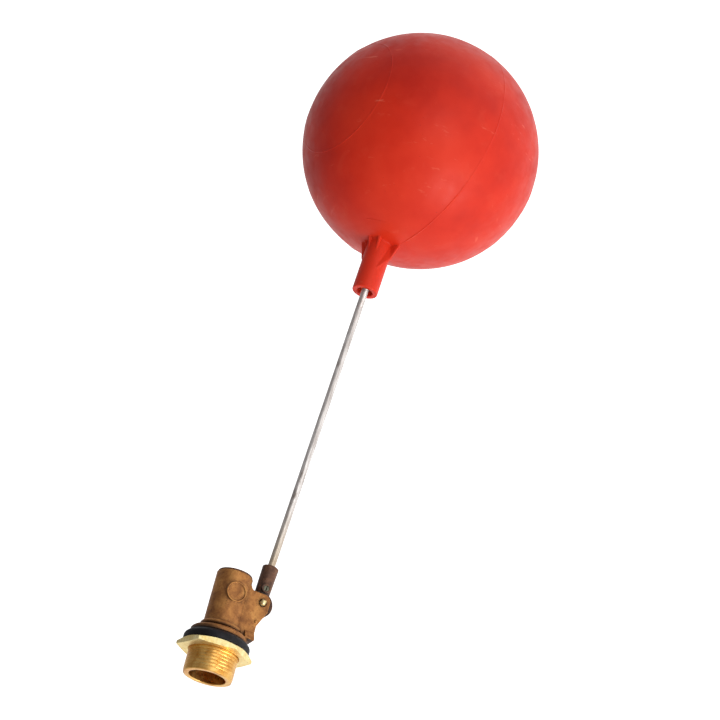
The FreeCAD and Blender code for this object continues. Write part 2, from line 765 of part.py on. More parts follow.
# ---------------------------------------------------------------- piston train
def make_piston():
    """Sliding plunger with a slot below for the lever's finger and a spigot for the disc retainer."""
    body = new_body("piston")
    turned(body, "plunger", [
        ("spigot_start", "0"),
        ("spigot_start", "spigot_radius"),
        ("piston_start", "spigot_radius"),
        ("piston_start", "piston_radius"),
        ("piston_end - 0.4", "piston_radius"),
        ("piston_end", "piston_radius - 0.4"),
        ("piston_end", "0"),
    ])
    centre = "(pivot_x - slide_per_radian * shut_finger_angle * pi / 180)"
    block(body, "finger_slot", [
        (f"{centre} - slot_half", "0 - piston_radius - 1"),
        (f"{centre} + slot_half", "0 - piston_radius - 1"),
        (f"{centre} + slot_half", "0 - slot_top"),
        (f"{centre} - slot_half", "0 - slot_top"),
    ], "slot_half_width", cut=True)
    return on_piston(body)


def make_disc_retainer():
    """Screwed ring that holds the seat disc in the nose of the piston."""
    body = new_body("disc_retainer")
    turned(body, "cup", [
        ("retainer_start", "retainer_eye"),
        ("retainer_start", "piston_radius - 0.5"),
        ("retainer_start + 0.5", "piston_radius"),
        ("piston_start - 0.03", "piston_radius"),
        ("piston_start - 0.03", "retainer_bore"),
        ("retainer_start + retainer_lip", "retainer_bore"),
        ("retainer_start + retainer_lip", "retainer_eye"),
    ])
    return on_piston(body)


def make_seat_disc():
    body = new_body("seat_disc")
    turned(body, "rubber_disc", [
        ("disc_start", "0"),
        ("disc_start", "disc_face_radius"),
        ("disc_step", "disc_face_radius"),
        ("disc_step", "disc_rim_radius"),
        ("disc_end", "disc_rim_radius"),
        ("disc_end", "0"),
    ])
    return on_piston(body)


# ---------------------------------------------------------------- build, check and write
assembly = [
    make_valve_body(),
    make_tank_washer(),
    make_backnut(),
    make_inlet_seat(),
    make_seat_gasket(),
    make_cylinder_cap(),
    make_fulcrum_pin(),
    make_lever_arm(),
    make_rod_set_screw(),
    make_float_rod(),
    make_float_shell(),
    make_neck_insert(),
    make_piston(),
    make_disc_retainer(),
    make_seat_disc(),
]
doc.recompute()
for thing in doc.Objects:
    if "Invalid" in thing.State or "Error" in thing.State:
        raise RuntimeError(f"{thing.Name} did not rebuild: {thing.State}")
for part in assembly:
    if part.Shape.isNull() or not part.Shape.isValid() or len(part.Shape.Solids) != 1:
        raise RuntimeError(f"{part.Label} is not one sound solid")

os.makedirs("parts", exist_ok=True)
for part in assembly:
    part.Shape.exportStep(f"parts/{part.Label}.step")
    box = part.Shape.BoundBox
    lengths = f"{box.XLength:.1f} x {box.YLength:.1f} x {box.ZLength:.1f} mm"
    print(f"{part.Label}: {part.Shape.Volume:.0f} mm3, {lengths}")
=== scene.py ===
"""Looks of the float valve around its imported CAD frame.

Mesh pieces, procedural materials, studio and camera. Lengths are written in millimetres and turned into
metres by mm(). The arm's own frame has its origin at the fulcrum, x along the rod and z up. Every other
piece is drawn straight in the shared frame.
"""

import json
import math

import bmesh
import bpy
import numpy as np
from mathutils import Matrix, Vector, noise


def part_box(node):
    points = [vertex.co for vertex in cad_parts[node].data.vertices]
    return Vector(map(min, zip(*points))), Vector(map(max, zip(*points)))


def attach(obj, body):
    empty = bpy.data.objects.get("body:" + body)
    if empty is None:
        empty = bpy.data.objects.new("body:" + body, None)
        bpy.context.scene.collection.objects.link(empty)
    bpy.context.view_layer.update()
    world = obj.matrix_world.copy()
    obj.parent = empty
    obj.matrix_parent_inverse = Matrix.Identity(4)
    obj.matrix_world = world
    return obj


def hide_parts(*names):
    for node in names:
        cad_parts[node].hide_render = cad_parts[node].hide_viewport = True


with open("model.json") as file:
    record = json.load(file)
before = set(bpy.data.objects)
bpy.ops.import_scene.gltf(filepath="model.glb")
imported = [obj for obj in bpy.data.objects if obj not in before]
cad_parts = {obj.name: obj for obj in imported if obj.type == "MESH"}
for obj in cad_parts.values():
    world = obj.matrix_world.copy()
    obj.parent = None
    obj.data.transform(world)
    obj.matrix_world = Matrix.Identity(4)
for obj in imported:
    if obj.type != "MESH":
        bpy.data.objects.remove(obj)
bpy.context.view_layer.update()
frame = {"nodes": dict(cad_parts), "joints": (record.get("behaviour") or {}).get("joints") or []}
nodes = frame["nodes"]
TURN = 2 * math.pi


def mm(*lengths):
    """Millimetres to metres: one number, or several as a tuple."""
    scaled = tuple(length * 0.001 for length in lengths)
    return scaled[0] if len(scaled) == 1 else scaled


# ---------------------------------------------------------------- sizes, in the frame or along the arm
PIVOT = Vector(next(joint["pos_m"] for joint in frame["joints"] if joint["name"] == "arm_pivot"))
REST_ANGLE = math.radians(3.5)
BODY_LOW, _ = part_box("valve_body")
BALL_LOW, BALL_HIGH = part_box("float_shell")
TAIL_TIP = BODY_LOW.x
FLANGE_FACE = PIVOT.x - mm(31.2)
TAIL_JOIN = FLANGE_FACE + mm(0.05)
THREAD_RADIUS = mm(16.6245)
THREAD_PITCH = mm(2.309)
TAIL_BORE = mm(12.4)
BALL_RADIUS = (BALL_HIGH.y - BALL_LOW.y) / 2
BALL_AT = mm(369.6)
BALL_SAG = mm(5.8)
NECK_RADIUS = mm(9.1)
NECK_BORE = mm(5.6)
NECK_START = mm(246.0)
ROD_RADIUS = mm(2.5)
PARTING_TILT = math.radians(14.8)
RING_ANGLE = math.radians(32.2)


# ---------------------------------------------------------------- mesh helpers
def smoothstep(low, high, value):
    share = np.clip((value - low) / (high - low), 0.0, 1.0)
    return share * share * (3 - 2 * share)


def add_object(name, data):
    """A new object in the scene that shows the given mesh, camera or lamp."""
    made = bpy.data.objects.new(name, data)
    bpy.context.scene.collection.objects.link(made)
    return made


def new_piece(name, vertices, faces):
    mesh = bpy.data.meshes.new(name)
    mesh.from_pydata([tuple(point) for point in vertices], [], faces)
    mesh.update()
    piece = add_object(name, mesh)
    mesh.polygons.foreach_set("use_smooth", [True] * len(mesh.polygons))
    return piece


def skin(name, rows, closed=False):
    """A mesh over rings of points. Rows join up in a ring when closed, or else both ends get a fan."""
    rows = np.asarray(rows, float)
    count, columns, _ = rows.shape
    vertices = list(rows.reshape(-1, 3))
    faces = []
    for row in range(count if closed else count - 1):
        after = (row + 1) % count
        for column in range(columns):
            beside = (column + 1) % columns
            faces.append((row * columns + column, row * columns + beside,
                          after * columns + beside, after * columns + column))
    if not closed:
        for row, flip in ((0, True), (count - 1, False)):
            centre = len(vertices)
            vertices.append(rows[row].mean(axis=0))
            for column in range(columns):
                edge = (row * columns + column, row * columns + (column + 1) % columns)
                faces.append((edge[1], edge[0], centre) if flip else (edge[0], edge[1], centre))
    return new_piece(name, vertices, faces)


def reshape(piece, change):
    """Applies a change, given as a function of a bmesh, to a piece's mesh."""
    mesh = bmesh.new()
    mesh.from_mesh(piece.data)
    change(mesh)
    mesh.to_mesh(piece.data)
    mesh.free()
    return piece


def outward(piece):
    """Turns every face of a closed piece outward."""
    return reshape(piece, lambda mesh: bmesh.ops.recalc_face_normals(mesh, faces=mesh.faces))


def rounded(points, radius, steps=5, closed=True):
    """A polyline with every corner turned into an arc-like curve. A point may carry its own radius."""
    curve = []
    for i, point in enumerate(points):
        here = Vector(point[:2])
        if not closed and i in (0, len(points) - 1):
            curve.append(here)
            continue
        before, after = Vector(points[i - 1][:2]), Vector(points[(i + 1) % len(points)][:2])
        reach = point[2] if len(point) > 2 else radius
        arm_in = min(reach, (before - here).length * 0.49)
        arm_out = min(reach, (after - here).length * 0.49)
        start = here + (before - here).normalized() * arm_in
        end = here + (after - here).normalized() * arm_out
        for step in range(steps + 1):
            t = step / steps
            curve.append(start * (1 - t) ** 2 + here * (2 * t * (1 - t)) + end * t * t)
    return curve


def around(profile, columns, radius_at=None):
    """Rings about the X axis from (x, radius) points. radius_at may change a radius with the angle."""
    angles = np.arange(columns) * TURN / columns
    rows = []
    for x, radius in profile:
        radii = np.full(columns, radius) if radius_at is None else radius_at(x, radius, angles)
        rows.append(np.stack([np.full(columns, x), radii * np.cos(angles), radii * np.sin(angles)],
                             axis=1))
    return np.array(rows)


def on_arm(piece):
    """Moves a piece drawn in the arm's own frame to its rest place, mesh and all."""
    piece.data.transform(Matrix.Translation(PIVOT) @ Matrix.Rotation(REST_ANGLE, 4, "Y"))
    return piece


def welded_copy(node, name):
    """A new piece with the CAD node's shape and its split corners joined."""
    mesh = bmesh.new()
    mesh.from_mesh(nodes[node].data)
    bmesh.ops.remove_doubles(mesh, verts=mesh.verts, dist=mm(0.002))
    copy = bpy.data.meshes.new(name)
    mesh.to_mesh(copy)
    mesh.free()
    return add_object(name, copy)


def cut_before(piece, x):
    """Removes what lies before x and closes the cut."""
    def cut_and_fill(mesh):
        everything = mesh.verts[:] + mesh.edges[:] + mesh.faces[:]
        cut = bmesh.ops.bisect_plane(mesh, geom=everything, dist=mm(0.0005), plane_co=(x, 0, 0),
                                     plane_no=(1, 0, 0), clear_inner=True)
        rim = [part for part in cut["geom_cut"] if isinstance(part, bmesh.types.BMEdge)]
        bmesh.ops.triangle_fill(mesh, use_beauty=True, use_dissolve=False, edges=rim)
        bmesh.ops.recalc_face_normals(mesh, faces=mesh.faces)

    reshape(piece, cut_and_fill)


def add_nub(piece, place, radius):
    """A small round lump on the casting, to be fused with it by the recast."""
    reshape(piece, lambda mesh: bmesh.ops.create_icosphere(
        mesh, subdivisions=3, radius=radius, matrix=Matrix.Translation(place)))


def cast_skin(piece, voxel, passes, grain):
    """Gives a piece a casting's soft corners and slightly uneven skin, and applies the result."""
    remesh = piece.modifiers.new("recast", "REMESH")
    remesh.mode = "VOXEL"
    remesh.voxel_size = voxel
    remesh.use_smooth_shade = True
    soften = piece.modifiers.new("soften", "SMOOTH")
    soften.factor = 0.5
    soften.iterations = passes
    bpy.context.view_layer.update()
    evaluated = piece.evaluated_get(bpy.context.evaluated_depsgraph_get())
    shaped = bpy.data.meshes.new_from_object(evaluated)
    piece.modifiers.clear()
    piece.data = shaped
    places = np.empty(len(shaped.vertices) * 3)
    normals = np.empty(len(shaped.vertices) * 3)
    shaped.vertices.foreach_get("co", places)
    shaped.vertex_normals.foreach_get("vector", normals)
    coarse, fine, fine_share, apart = 800, 2100, 0.55, Vector((7, 3, 1))
    rough = np.array([noise.noise(spot * coarse) + fine_share * noise.noise(spot * fine + apart)
                      for spot in map(Vector, places.reshape(-1, 3))])
    shaped.vertices.foreach_set("co", places + normals * np.repeat(rough * grain, 3))
    shaped.update()
    shaped.polygons.foreach_set("use_smooth", [True] * len(shaped.polygons))


def soften_edges(node, width):
    """Rounds a CAD node's edges by modifiers alone; its own mesh stays as packed."""
    piece = nodes[node]
    weld = piece.modifiers.new("weld", "WELD")
    weld.merge_threshold = mm(0.002)
    bevel = piece.modifiers.new("bevel", "BEVEL")
    bevel.width = width
    bevel.segments = 2
    bevel.limit_method = "ANGLE"
    bevel.angle_limit = math.radians(30)
    bevel.use_clamp_overlap = True
    shade = piece.modifiers.new("even_shading", "WEIGHTED_NORMAL")
    shade.keep_sharp = False


# ---------------------------------------------------------------- material helpers
def tinted(colour, factor):
    """A colour made lighter or darker, with no channel above one."""
    return tuple(min(1.0, level * factor) for level in colour)


class Paint:
    """One procedural material, with short calls for the nodes it uses."""

    def __init__(self, name, **inputs):
        self.material = bpy.data.materials.new(name)
        self.material.use_nodes = True
        self.tree = self.material.node_tree
        self.shader = self.tree.nodes["Principled BSDF"]
        self.place = self.node("TexCoord").outputs["Object"]
        for socket, value in inputs.items():
            self.set(socket.replace("_", " "), value)

    def node(self, kind, inputs=None, **settings):
        made = self.tree.nodes.new("ShaderNode" + kind)
        for key, value in settings.items():
            setattr(made, key, value)
        for key, value in (inputs or {}).items():
            self.feed(made.inputs[key], value)
        return made

    def feed(self, socket, value):
        if isinstance(value, bpy.types.NodeSocket):
            self.tree.links.new(value, socket)
        elif isinstance(value, tuple) and len(value) == 3 and socket.type == "RGBA":
            socket.default_value = (*value, 1.0)
        else:
            socket.default_value = value

    def set(self, socket, value):
        self.feed(self.shader.inputs[socket], value)

    def stretched(self, x, y, z, angle=0.0):
        """The object's coordinates scaled by direction, after a turn about Y."""
        inputs = {"Vector": self.place, "Scale": (x, y, z), "Rotation": (0.0, angle, 0.0)}
        return self.node("Mapping", inputs).outputs["Vector"]

    def noise(self, size, detail=3.0, roughness=0.55, vector=None, distortion=0.0):
        """Cloudy values of about the given size, in millimetres or in the vector's own units."""
        scale = 1.0 / mm(size) if vector is None else 1.0 / size
        inputs = {"Vector": vector or self.place, "Scale": scale, "Detail": detail,
                  "Roughness": roughness, "Distortion": distortion}
        return self.node("TexNoise", inputs).outputs["Fac"]

    def ramp(self, value, *stops):
        """Values or colours between (place, level) stops."""
        made = self.node("ValToRGB", {"Fac": value})
        elements = made.color_ramp.elements
        while len(elements) < len(stops):
            elements.new(0.5)
        for element, (place, level) in zip(elements, stops):
            element.position = place
            colour = level if isinstance(level, tuple) else (level, level, level)
            element.color = (*colour, 1.0)
        return made.outputs["Color"]

    def mix(self, share, first, second, blend="MIX"):
        made = self.node("Mix", data_type="RGBA", blend_type=blend)
        for index, value in ((0, share), (6, first), (7, second)):
            self.feed(made.inputs[index], value)
        return made.outputs[2]

    def math(self, operation, *values):
        made = self.node("Math", operation=operation)
        for index, value in enumerate(values):
            self.feed(made.inputs[index], value)
        return made.outputs[0]

    def axis(self, letter):
        return self.node("SeparateXYZ", {"Vector": self.place}).outputs[letter]

    def bumps(self, *layers):
        """Stacks bump nodes from (height, depth in millimetres) pairs onto the shader's normal."""
        normal = None
        for height, depth in layers:
            inputs = {"Height": height, "Strength": 1.0, "Distance": mm(depth)}
            if normal is not None:
                inputs["Normal"] = normal
            normal = self.node("Bump", inputs).outputs["Normal"]
        self.set("Normal", normal)

    def worn_edges(self, width):
        """High where a sharp edge is within the given width in millimetres."""
        bevel = self.node("Bevel", {"Radius": mm(width)}, samples=4).outputs["Normal"]
        flat = self.node("NewGeometry").outputs["Normal"]
        made = self.node("VectorMath", operation="DOT_PRODUCT")
        self.feed(made.inputs[0], bevel)
        self.feed(made.inputs[1], flat)
        return self.ramp(made.outputs["Value"], (0.80, 1.0), (0.99, 0.0))


def dress(piece, material):
    piece.data.materials.clear()
    piece.data.materials.append(material)
    return piece


# ---------------------------------------------------------------- materials
def red_plastic():
    """Satin orange-red moulded plastic with faded patches, dust and fine scuffs."""
    paint = Paint("moulded_red_plastic", Specular_IOR_Level=0.20)
    cloudy = paint.noise(60, 4.0)
    base = paint.ramp(cloudy, (0.34, (0.50, 0.014, 0.004)), (0.52, (0.60, 0.022, 0.006)),
                      (0.70, (0.66, 0.032, 0.010)))
    faded = paint.ramp(paint.noise(22, 5.0, 0.65, distortion=0.6), (0.56, 0.0), (0.80, 0.25))
    base = paint.mix(faded, base, (0.70, 0.080, 0.038))
    streaks = paint.noise(1.0, 3.0, 0.6, paint.stretched(300, 40, 90, 0.6))
    scuffs = paint.math("MULTIPLY", paint.ramp(streaks, (0.63, 0.0), (0.72, 0.5)),
                        paint.ramp(paint.noise(30), (0.50, 0.0), (0.62, 1.0)))
    base = paint.mix(scuffs, base, (0.76, 0.15, 0.09))
    specks = paint.ramp(paint.noise(1.6, 1.0), (0.77, 0.0), (0.81, 0.45))
    base = paint.mix(specks, base, (0.30, 0.012, 0.006))
    paint.set("Base Color", base)
    paint.set("Roughness", paint.ramp(paint.noise(9, 4.0, 0.6), (0.35, 0.36), (0.65, 0.50)))
    paint.bumps((paint.noise(26, 2.0), 0.55), (paint.noise(3.2, 3.0), 0.05), (scuffs, 0.03))
    return paint.material


def cast_bronze(name, dark, mid, light, metal=0.62, rough=(0.40, 0.60), flange_rim_shade=False):
    """As-cast metal: blotchy oxide, dark pores, painted shade in the hollows, a sandy skin and bright
    edges.

    Asked to, it also paints shade on the flange's rim, darker towards its upper side.
    """
    paint = Paint(name, Metallic=metal)
    blotches = paint.noise(7.5, 5.0, 0.62, distortion=0.4)
    base = paint.ramp(blotches, (0.32, dark), (0.52, mid), (0.70, light))
    pores = paint.ramp(paint.noise(1.1, 3.0, 0.6), (0.30, 0.75), (0.40, 0.0))
    base = paint.mix(pores, base, tinted(dark, 0.45))
    curve = paint.node("NewGeometry").outputs["Pointiness"]
    wear = paint.math("MULTIPLY", paint.ramp(curve, (0.515, 0.0), (0.60, 0.75)),
                      paint.ramp(paint.noise(2.5), (0.35, 0.35), (0.60, 1.0)))
    base = paint.mix(wear, base, tinted(light, 1.55))
    # Painted shade: ambient occlusion darkens the hollows and the crease between barrel and ear.
    hollow_shade = paint.node("AmbientOcclusion", {"Distance": mm(5.0)}, samples=8).outputs["AO"]
    base = paint.mix(paint.ramp(hollow_shade, (0.72, 0.9), (0.98, 0.0)), base, tinted(dark, 0.35))
    # Painted shade: the flange's rim is darkened towards its upper side, nearly black at the top.
    if flange_rim_shade:
        full_to, gone_at, lowest, blackest = mm(2.6, 4.2, 2.0, 13.0)
        rim = paint.ramp(paint.axis("X"), (FLANGE_FACE + full_to, 1.0), (FLANGE_FACE + gone_at, 0.0))
        above = paint.ramp(paint.axis("Z"), (lowest, 0.0), (blackest, 0.85))
        base = paint.mix(paint.math("MULTIPLY", rim, above), base, (0.020, 0.012, 0.010))
    paint.set("Base Color", base)
    paint.set("Roughness", paint.ramp(paint.noise(3.0, 4.0), (0.35, rough[0]), (0.65, rough[1])))
    paint.bumps((paint.noise(4.5, 3.0), 0.16), (paint.noise(0.55, 4.0, 0.7), 0.045))
    return paint.material


def turned_brass(name, deep, bright, rough, lathe=(2600, 60, 60)):
    """Machined brass: fine tool marks, faint tarnish clouds and rubbed edges."""
    paint = Paint(name, Metallic=1.0)
    cloudy = paint.noise(9, 4.0, 0.6, distortion=0.5)
    base = paint.ramp(cloudy, (0.36, deep), (0.62, bright))
    marks = paint.noise(1.0, 2.0, 0.5, paint.stretched(*lathe))
    base = paint.mix(paint.ramp(marks, (0.40, 0.25), (0.60, 0.0)), base, tinted(deep, 0.6))
    stains = paint.ramp(paint.noise(2.2, 4.0, 0.65), (0.60, 0.0), (0.76, 0.45))
    base = paint.mix(stains, base, tinted(deep, 0.5))
    base = paint.mix(paint.worn_edges(0.35), base, tinted(bright, 1.15))
    paint.set("Base Color", base)
    paint.set("Roughness", paint.ramp(paint.noise(2.5, 4.0), (0.35, rough[0]), (0.68, rough[1])))
    paint.bumps((marks, 0.012), (paint.noise(5.0, 2.0), 0.05))
    return paint.material


def black_rubber():
    """Moulded rubber with a dusty bloom and small pits."""
    paint = Paint("black_rubber", Specular_IOR_Level=0.20)
    bloom = paint.ramp(paint.noise(5.0, 5.0, 0.65), (0.42, 0.0), (0.72, 0.7))
    base = paint.mix(bloom, (0.005, 0.004, 0.005), (0.015, 0.013, 0.017))
    base = paint.mix(paint.worn_edges(0.5), base, (0.030, 0.028, 0.034))
    paint.set("Base Color", base)
    paint.set("Roughness", paint.ramp(paint.noise(3.0), (0.35, 0.42), (0.65, 0.62)))
    paint.bumps((paint.noise(2.4, 4.0), 0.06), (paint.noise(0.4, 2.0), 0.015))
    return paint.material


def drawn_steel():
    """Plated rod with draw lines along it, dull patches and brown stains, yellower by the lever."""
    paint = Paint("drawn_steel", Metallic=0.85)
    along = paint.noise(1.0, 3.0, 0.6, paint.stretched(60, 900, 900, -REST_ANGLE))
    base = paint.ramp(along, (0.36, (0.50, 0.45, 0.42)), (0.62, (0.80, 0.76, 0.73)))
    stains = paint.ramp(paint.noise(1.0, 5.0, 0.7, paint.stretched(75, 260, 260, -REST_ANGLE)),
                        (0.55, 0.0), (0.72, 0.85))
    base = paint.mix(stains, base, (0.19, 0.14, 0.105))
    yellow_to, plain_from = mm(85.0, 135.0)
    near_lever = paint.ramp(paint.axis("X"), (yellow_to, 0.75), (plain_from, 0.0))
    base = paint.mix(near_lever, base, (0.46, 0.34, 0.20))
    paint.set("Base Color", base)
    paint.set("Roughness", paint.ramp(paint.noise(2.5, 4.0), (0.35, 0.28), (0.68, 0.50)))
    paint.bumps((along, 0.02), (paint.noise(1.6, 4.0), 0.04))
    return paint.material


def pressed_fibre():
    """Red-brown fibre washer with a mottled, matted surface."""
    paint = Paint("pressed_fibre")
    mottled = paint.noise(0.9, 5.0, 0.7)
    base = paint.ramp(mottled, (0.35, (0.14, 0.035, 0.02)), (0.65, (0.36, 0.11, 0.06)))
    paint.set("Base Color", base)
    paint.set("Roughness", paint.ramp(paint.noise(0.6), (0.35, 0.70), (0.65, 0.88)))
    paint.bumps((paint.noise(0.35, 4.0), 0.04))
    return paint.material


RED = red_plastic()
BRONZE = cast_bronze(
    "cast_bronze", dark=(0.190, 0.068, 0.017), mid=(0.365, 0.150, 0.039), light=(0.51, 0.240, 0.066),
    flange_rim_shade=True)
DARK = cast_bronze(
    "dark_bronze", dark=(0.042, 0.017, 0.010), mid=(0.120, 0.052, 0.027), light=(0.20, 0.095, 0.048),
    metal=0.45, rough=(0.38, 0.55))
GREENISH = cast_bronze(
    "dull_screw_metal", dark=(0.045, 0.044, 0.028), mid=(0.095, 0.092, 0.060), light=(0.16, 0.15, 0.10),
    metal=0.45, rough=(0.45, 0.62))
GOLDEN = turned_brass(
    "golden_brass", deep=(0.60, 0.27, 0.05), bright=(0.90, 0.55, 0.17), rough=(0.26, 0.40))
YELLOW = turned_brass(
    "yellow_brass", deep=(0.84, 0.62, 0.23), bright=(0.98, 0.83, 0.44), rough=(0.42, 0.52),
    lathe=(60, 900, 900))
RUBBER = black_rubber()
STEEL = drawn_steel()
FIBRE = pressed_fibre()


# ---------------------------------------------------------------- valve casting, tail, washer and nut
NUB_PLACE = Vector((FLANGE_FACE + mm(17.2), mm(-7.9), mm(-19.4)))
NUB_RADIUS = mm(1.2)


def make_casting():
    """The body from the flange on, with a cast skin. The machined tail is a piece of its own."""
    piece = welded_copy("valve_body", "valve_casting")
    cut_before(piece, TAIL_JOIN)
    add_nub(piece, NUB_PLACE, NUB_RADIUS)
    cast_skin(piece, voxel=mm(0.26), passes=4, grain=mm(0.05))
    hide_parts("valve_body")
    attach(dress(piece, BRONZE), "valve")


def make_tail():
    """The threaded tail: a helical thread outside, a smooth bore inside."""
    depth, chamfer, lead_drop, lip = mm(0.30, 1.5, 0.15, 0.3)
    rings_per_turn = 14
    start, end = TAIL_TIP, TAIL_JOIN
    step = THREAD_PITCH / rings_per_turn
    outer = [(x, THREAD_RADIUS) for x in np.arange(start + lip, end, step)]

    def thread(x, radius, angles):
        if radius < THREAD_RADIUS:
            return np.full(len(angles), radius)
        phase = (x / THREAD_PITCH - angles / TURN) % 1.0
        groove = smoothstep(0.28, 0.50, phase) * smoothstep(0.72, 0.50, phase)
        lead = radius - depth - lead_drop + (x - start) * depth / chamfer
        return np.minimum(radius - depth * groove, np.maximum(lead, radius - depth * 1.15))

    inner = rounded([(end, TAIL_BORE), (start, TAIL_BORE, mm(0.5)),
                     (start, THREAD_RADIUS - mm(1.2), mm(0.3)),
                     (start + mm(0.25), THREAD_RADIUS - mm(1.0))], mm(0.3), closed=False)
    bore = [(x, TAIL_BORE) for x in np.linspace(end, start + mm(1), 12)]
    rows = around(bore + [tuple(point) for point in inner[1:]] + outer, 160, thread)
    piece = outward(skin("threaded_tail", rows, closed=True))
    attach(dress(piece, GOLDEN), "valve")


def make_tank_washer():
    """The thick washer, its outer corners rounded and its rim slightly uneven."""
    low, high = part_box("tank_washer")
    outer, inner = (high.y - low.y) / 2, THREAD_RADIUS + mm(0.4)
    profile = rounded([(low.x, inner), (low.x, outer - mm(0.2), mm(1.3)),
                       (high.x - mm(2.6), outer, mm(1.6)), (high.x, outer - mm(3.0), mm(1.5)),
                       (high.x, inner)], mm(0.35), steps=7)

    def uneven(_, radius, angles):
        share = smoothstep(inner + mm(2), outer, radius)
        return radius - share * mm(0.12) * (1 + np.cos(5 * angles + 0.7))

    rows = around([tuple(point) for point in profile], 144, uneven)
    piece = outward(skin("rubber_tank_washer", rows, closed=True))
    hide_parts("tank_washer")
    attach(dress(piece, RUBBER), "valve")


make_casting()
make_tail()
make_tank_washer()


# ---------------------------------------------------------------- fulcrum split pin
EAR_FACE = mm(8.2)
EYE_TURN = math.radians(9)
PINCH = mm(0.6)


def split_pin_path():
    """(across, along Y) points of the folded wire's flat, from one end round the eye to the other."""
    gap, leg, half, crown, bow, neck, clear = mm(0.1, 7.4, 1.8, 2.5, 1.2, 0.9, 0.1)
    spread = math.radians(18)
    bend = EAR_FACE + PINCH
    near = [(gap + leg * share * math.sin(spread), bend + leg * share * math.cos(spread))
            for share in np.linspace(1, 0, 6)]
    near += [(gap, y) for y in np.linspace(EAR_FACE, -EAR_FACE + PINCH, 9)]
    for share in np.linspace(0, 1, 6)[1:]:
        widen = 0.5 - 0.5 * math.cos(math.pi * share)
        near.append((gap + (half - gap) * widen, -EAR_FACE - clear - neck * share))
    centre = -EAR_FACE - crown + bow
    near += [(half * math.cos(angle), centre - bow * math.sin(angle))
             for angle in np.linspace(0.1, math.pi / 2, 8)]
    return near + [(-x, y) for x, y in reversed(near[:-1])]


def make_fulcrum_pin():
    """A half-round wire swept along the folded path, thinner where it is squashed into the eye."""
    path = [Vector((x, y, 0)) for x, y in split_pin_path()]
    eye_thick, eye_wide, leg_thicker, leg_wider = mm(0.9, 1.4, 1.3, 0.8)
    sides = 11
    turns = [math.pi * column / sides for column in range(sides + 1)]
    rows = []
    for i, point in enumerate(path):
        ahead = (path[min(i + 1, len(path) - 1)] - path[max(i - 1, 0)]).normalized()
        outside = ahead.cross(Vector((0, 0, 1)))
        in_leg = smoothstep(-EAR_FACE - PINCH, -EAR_FACE + PINCH, point.y)
        thick, wide = eye_thick + leg_thicker * in_leg, eye_wide + leg_wider * in_leg
        rows.append([tuple(point + Vector((0, 0, math.cos(turn) * wide))
                           + outside * (math.sin(turn) * thick)) for turn in turns])
    piece = outward(skin("fulcrum_split_pin", rows))
    piece.data.transform(Matrix.Translation(PIVOT) @ Matrix.Rotation(EYE_TURN, 4, "Y"))
    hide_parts("fulcrum_pin")
    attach(dress(piece, YELLOW), "valve")


make_fulcrum_pin()


# ---------------------------------------------------------------- lever, rod
def make_lever():
    """The lever with a finer cast skin than the body's."""
    piece = welded_copy("lever_arm", "lever_casting")
    cast_skin(piece, voxel=mm(0.2), passes=2, grain=mm(0.04))
    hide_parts("lever_arm")
    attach(dress(piece, DARK), "float_arm")


def make_rod():
    """Drawn rod with a rolled thread of M5's pitch at both ends."""
    start, end, pitch, depth = mm(6.9, 268.0, 0.8, 0.30)
    near_end, far_start, gap, run_out = mm(18, 232, 1, 2)
    step = pitch / 6
    fine = [(x, ROD_RADIUS) for x in np.arange(start, near_end, step)]
    plain = [(x, ROD_RADIUS) for x in np.linspace(near_end + gap, far_start - gap, 80)]
    rolled = [(x, ROD_RADIUS) for x in np.arange(far_start, end, step)]

    def thread(x, radius, angles):
        share = (smoothstep(near_end, near_end - run_out, x)
                 + smoothstep(far_start, far_start + run_out, x))
        wave = 0.5 - 0.5 * np.cos(TURN * (x / pitch) - angles)
        uneven = mm(0.02) * noise.noise(Vector((x * 90, 0.3, 0.7)))
        return radius - share * depth * wave + uneven * (1 - share)

    piece = outward(skin("plated_rod", around(fine + plain + rolled, 28, thread)))
    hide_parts("float_rod")
    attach(dress(on_arm(piece), STEEL), "float_arm")


make_lever()
make_rod()


# ---------------------------------------------------------------- float
def make_ball():
    """The moulded ball, drawn about the pole of its parting plane, its seams raised from the skin.

    A seam is (degrees from the pole, rise, width): the parting line, and a ring on each side of it.
    """
    columns, coarse_step, parting = 320, 1.5, 90.0
    ring_level = math.degrees(RING_ANGLE)
    seams = ((parting, mm(0.34), mm(0.42)), (ring_level, mm(0.26), mm(0.40)),
             (180 - ring_level, mm(0.26), mm(0.40)))
    levels = list(np.arange(coarse_step, 180, coarse_step))
    for at, _, width in seams:
        spread = math.degrees(width / BALL_RADIUS)
        levels += list(at + np.linspace(-3.0, 3.0, 19) * spread)
    levels = np.array(sorted(set(np.round(levels, 4))))
    angles = np.arange(columns) * TURN / columns
    rows = []
    for level in levels:
        polar = math.radians(level)
        ring = np.stack([-np.cos(angles) * math.sin(polar), np.sin(angles) * math.sin(polar),
                         np.full(columns, math.cos(polar))], axis=1)
        lift = np.zeros(columns)
        for at, rise, width in seams:
            away = (level - at) * math.pi / 180 * BALL_RADIUS / width
            if abs(away) > 3.2:
                continue
            for column, angle in enumerate(angles):
                spot = Vector(ring[column])
                worn = 0.75 + 0.6 * noise.noise(spot * 6.0) + 0.25 * noise.noise(spot * 30.0)
                from_neck = abs((angle + math.pi) % TURN - math.pi) / math.pi
                fade = 1.15 - 0.75 * from_neck if at == parting else 1.0
                lift[column] += rise * max(worn, 0.15) * fade * math.exp(-away * away)
        for column in range(columns):
            spot = Vector(ring[column])
            lift[column] += mm(0.22) * noise.noise(spot * 2.3) + mm(0.05) * noise.noise(spot * 9.0)
        rows.append(ring * (BALL_RADIUS - mm(0.1) + lift)[:, None])
    piece = outward(skin("float_ball", rows))
    tilt = Matrix.Rotation(PARTING_TILT, 4, "X")
    piece.data.transform(Matrix.Translation((BALL_AT, 0, -BALL_SAG)) @ tilt)
    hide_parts("float_shell")
    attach(dress(on_arm(piece), RED), "float_arm")


